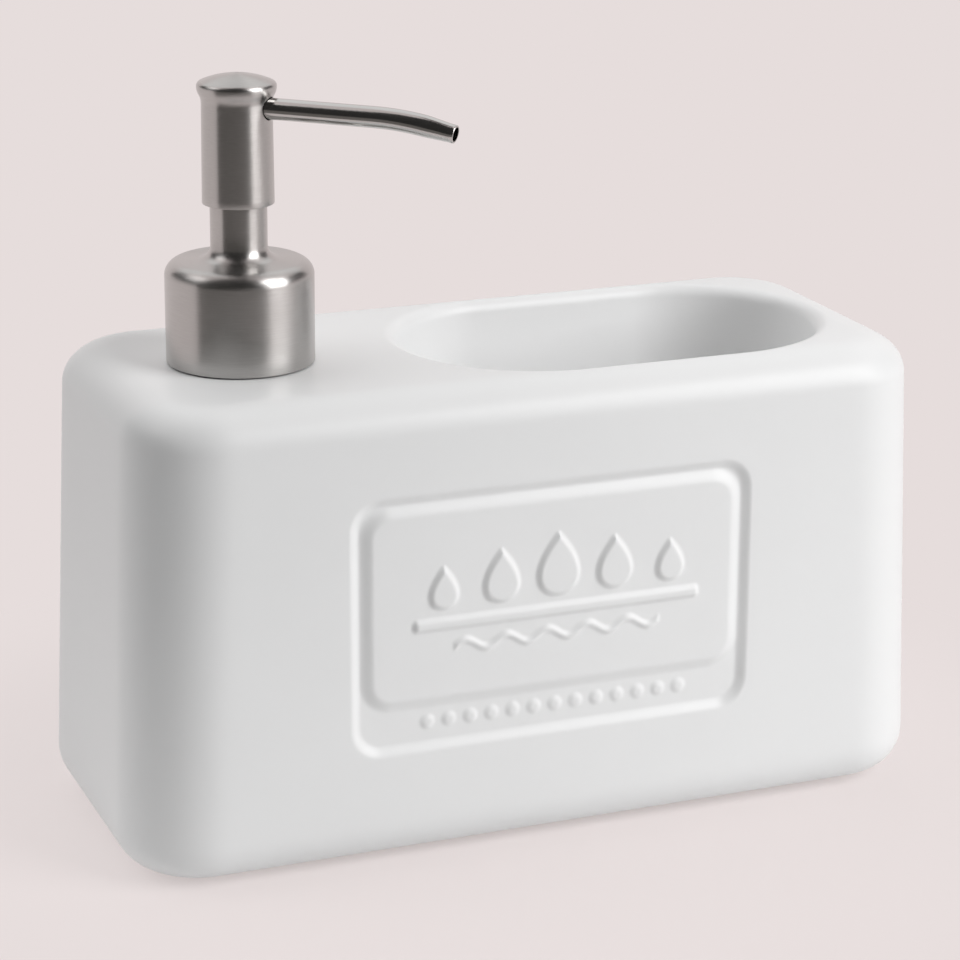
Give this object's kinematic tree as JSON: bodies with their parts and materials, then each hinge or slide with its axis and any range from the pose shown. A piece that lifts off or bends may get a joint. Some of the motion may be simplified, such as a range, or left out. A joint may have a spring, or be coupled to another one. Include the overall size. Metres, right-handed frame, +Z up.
{
  "type": "soap dispenser",
  "caption": "Ceramic liquid soap dispenser with an open sponge well beside its reservoir and a brushed steel screw-on pump with a swivelling nozzle head.",
  "frame": {"origin": "on the counter, below the middle of the ceramic body", "axes": "+X from the pump towards the sponge well, -Y the front with the moulded label, +Z up along the pump"},
  "size_m": [0.1946, 0.0866, 0.1719],
  "materials": {
    "glazed_ceramic": "white satin glaze",
    "brushed_steel": "brushed round the axis",
    "polished_steel": "polished tube",
    "spring_steel": "bright drawn wire",
    "white_polypropylene": "moulded, satin",
    "natural_polyethylene": "milky, extruded or moulded",
    "clear_silicone": "frosted, soft"
  },
  "bodies": {
    "root": {"ceramic_body": "glazed_ceramic", "foot_pad_1": "clear_silicone", "foot_pad_2": "clear_silicone", "foot_pad_3": "clear_silicone", "foot_pad_4": "clear_silicone", "neck_insert": "white_polypropylene", "insert_seal": "clear_silicone"},
    "pump": {"pump_housing": "white_polypropylene", "neck_gasket": "clear_silicone", "dip_tube": "natural_polyethylene", "ball_cage": "white_polypropylene", "return_spring": "spring_steel", "stem_guide": "white_polypropylene"},
    "closure": {"closure_cap": "white_polypropylene", "collar_shell": "brushed_steel"},
    "valve_ball": {"check_ball": "spring_steel"},
    "plunger": {"piston_seal": "natural_polyethylene"},
    "head": {"piston_rod": "white_polypropylene", "pump_stem": "white_polypropylene", "actuator_core": "white_polypropylene", "head_shell": "brushed_steel", "nozzle_tube": "polished_steel"}
  },
  "joints": [
    {"name": "pump_rise", "type": "slide", "parent": "root", "child": "pump", "axis": [0, 0, 1], "range_m": [0, 0.00634]},
    {"name": "closure_turn", "type": "hinge", "parent": "pump", "child": "closure", "pos_m": [-0.0592, 0, 0.1078], "axis": [0, 0, 1], "range_deg": [0, 540]},
    {"name": "press", "type": "slide", "parent": "pump", "child": "plunger", "axis": [0, 0, -1], "range_m": [0, 0.011], "stiffness_N_per_m": 450, "springref_m": -0.008, "deforming": ["return_spring"]},
    {"name": "head_swivel", "type": "hinge", "parent": "plunger", "child": "head", "pos_m": [-0.0592, 0, 0.1648], "axis": [0, 0, 1], "continuous": true},
    {"name": "ball_lift", "type": "slide", "parent": "pump", "child": "valve_ball", "axis": [0, 0, 1], "range_m": [0, 0.0015]}
  ],
  "couplings": [
    {"joint": "closure_turn", "follows": "pump_rise", "rad_per_m": 1485.4}
  ]
}
